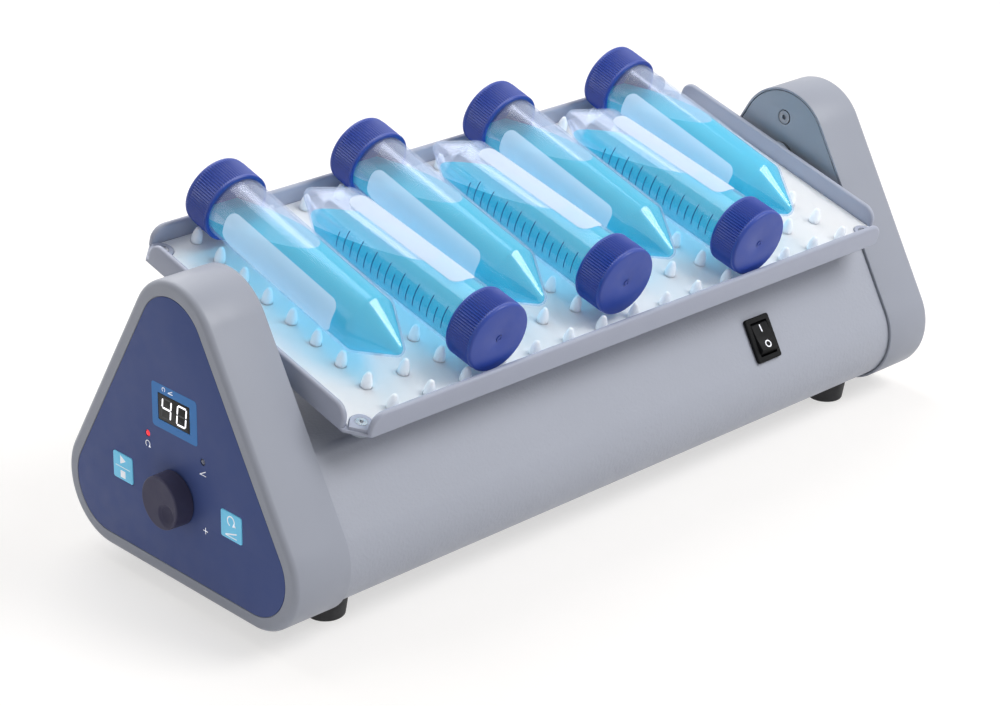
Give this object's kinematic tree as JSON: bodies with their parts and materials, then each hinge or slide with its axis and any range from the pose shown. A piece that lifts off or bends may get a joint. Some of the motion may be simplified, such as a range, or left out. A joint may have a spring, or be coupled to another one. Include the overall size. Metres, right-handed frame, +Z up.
{
  "type": "tube rocker",
  "caption": "Laboratory rocker with rounded triangular end housings and a tilting tray with a pegged mat that rocks capped conical tubes.",
  "frame": {"origin": "middle of the length, between the front and the rear feet, on the surface that the feet stand on", "axes": "+X along the length away from the control panel, +Y to the rear, where the power inlet is, +Z up"},
  "size_m": [0.4395, 0.1628, 0.1738],
  "materials": {
    "housing_paint": "smooth grey moulding",
    "plate_paint": "grey powder coat",
    "body_paint": "fine textured grey powder coat",
    "tray_paint": "fine textured grey powder coat",
    "galvanised": "zinc plated",
    "screw_steel": "plated",
    "bright_steel": "ground",
    "motor_steel": "black",
    "foot_rubber": "matt",
    "film": "printed polyester film",
    "window": "smoked",
    "black_plastic": "moulded",
    "lamp_lit": "lit",
    "lamp_off": "unlit",
    "circuit_board": "green laminate",
    "knob_plastic": "moulded",
    "key_plastic": "soft touch",
    "brass_gear": "machined",
    "bush_plastic": "natural",
    "mat_rubber": "white silicone",
    "clear_tube": "clear polypropylene",
    "cap_plastic": "blue moulding",
    "liquid": "clear cyan liquid"
  },
  "bodies": {
    "base": {"left_housing": "housing_paint", "right_housing": "housing_paint", "left_end_plate": "plate_paint", "right_end_plate": "plate_paint", "end_plate_screws": "screw_steel", "body_cover": "body_paint", "base_plate": "galvanised", "feet": "foot_rubber", "chassis_screws": "screw_steel", "panel_film": "film", "display_window": "window", "display_module": "black_plastic", "speed_led": "lamp_lit", "tilt_led": "lamp_off", "control_board": "circuit_board", "encoder_body": "galvanised", "switch_housing": "black_plastic", "power_inlet": "black_plastic", "inlet_pins": "bright_steel", "power_board": "circuit_board", "stepper_motor": "motor_steel", "motor_screws": "screw_steel", "home_sensor": "black_plastic", "axle_bushes": "bush_plastic"},
    "tray": {"tray_pan": "tray_paint", "tray_brackets": "plate_paint", "tray_mat": "mat_rubber", "tray_corner_screws": "bright_steel", "left_trunnion": "bright_steel", "right_trunnion": "bright_steel", "retaining_ring": "screw_steel", "sector_gear": "brass_gear"},
    "motor_rotor": {"motor_shaft": "bright_steel", "motor_pinion": "brass_gear"},
    "speed_knob": {"knob": "knob_plastic", "encoder_shaft": "bright_steel"},
    "run_stop": {"run_stop_key": "key_plastic"},
    "mode": {"mode_key": "key_plastic"},
    "power_rocker": {"switch_rocker": "black_plastic"},
    "tube_1_set": {"tube_1": "clear_tube", "tube_cap_1": "cap_plastic", "tube_liquid_1": "liquid"},
    "tube_2_set": {"tube_2": "clear_tube", "tube_cap_2": "cap_plastic", "tube_liquid_2": "liquid"},
    "tube_3_set": {"tube_3": "clear_tube", "tube_cap_3": "cap_plastic", "tube_liquid_3": "liquid"},
    "tube_4_set": {"tube_4": "clear_tube", "tube_cap_4": "cap_plastic", "tube_liquid_4": "liquid"},
    "tube_5_set": {"tube_5": "clear_tube", "tube_cap_5": "cap_plastic", "tube_liquid_5": "liquid"},
    "tube_6_set": {"tube_6": "clear_tube", "tube_cap_6": "cap_plastic", "tube_liquid_6": "liquid"},
    "tube_7_set": {"tube_7": "clear_tube", "tube_cap_7": "cap_plastic", "tube_liquid_7": "liquid"}
  },
  "joints": [
    {"name": "tray_rock", "type": "hinge", "parent": "base", "child": "tray", "pos_m": [0, 0, 0.116], "axis": [1, 0, 0], "range_deg": [-35.5, 4.5]},
    {"name": "motor_spin", "type": "hinge", "parent": "base", "child": "motor_rotor", "pos_m": [-0.19, 0, 0.053], "axis": [1, 0, 0], "range_deg": [-27, 213]},
    {"name": "knob_turn", "type": "hinge", "parent": "base", "child": "speed_knob", "pos_m": [-0.21, 0, 0.052], "axis": [1, 0, 0], "continuous": true},
    {"name": "run_stop_press", "type": "slide", "parent": "base", "child": "run_stop", "axis": [1, 0, 0], "range_m": [0, 0.0004], "stiffness_N_per_m": 1500, "springref_m": -0.0002},
    {"name": "mode_press", "type": "slide", "parent": "base", "child": "mode", "axis": [1, 0, 0], "range_m": [0, 0.0004], "stiffness_N_per_m": 1500, "springref_m": -0.0002},
    {"name": "power_switch", "type": "hinge", "parent": "base", "child": "power_rocker", "pos_m": [0.0933, -0.06729, 0.05998], "axis": [1, 0, 0], "range_deg": [0, 20]},
    {"name": "tube_1_lift", "type": "slide", "parent": "tray", "child": "tube_1_set", "axis": [0, -0.2672, 0.9636], "range_m": [0, 0.08]},
    {"name": "tube_2_lift", "type": "slide", "parent": "tray", "child": "tube_2_set", "axis": [0, -0.2672, 0.9636], "range_m": [0, 0.08]},
    {"name": "tube_3_lift", "type": "slide", "parent": "tray", "child": "tube_3_set", "axis": [0, -0.2672, 0.9636], "range_m": [0, 0.08]},
    {"name": "tube_4_lift", "type": "slide", "parent": "tray", "child": "tube_4_set", "axis": [0, -0.2672, 0.9636], "range_m": [0, 0.08]},
    {"name": "tube_5_lift", "type": "slide", "parent": "tray", "child": "tube_5_set", "axis": [0, -0.2672, 0.9636], "range_m": [0, 0.08]},
    {"name": "tube_6_lift", "type": "slide", "parent": "tray", "child": "tube_6_set", "axis": [0, -0.2672, 0.9636], "range_m": [0, 0.08]},
    {"name": "tube_7_lift", "type": "slide", "parent": "tray", "child": "tube_7_set", "axis": [0, -0.2672, 0.9636], "range_m": [0, 0.08]}
  ],
  "couplings": [
    {"joint": "motor_spin", "follows": "tray_rock", "ratio": -6}
  ]
}
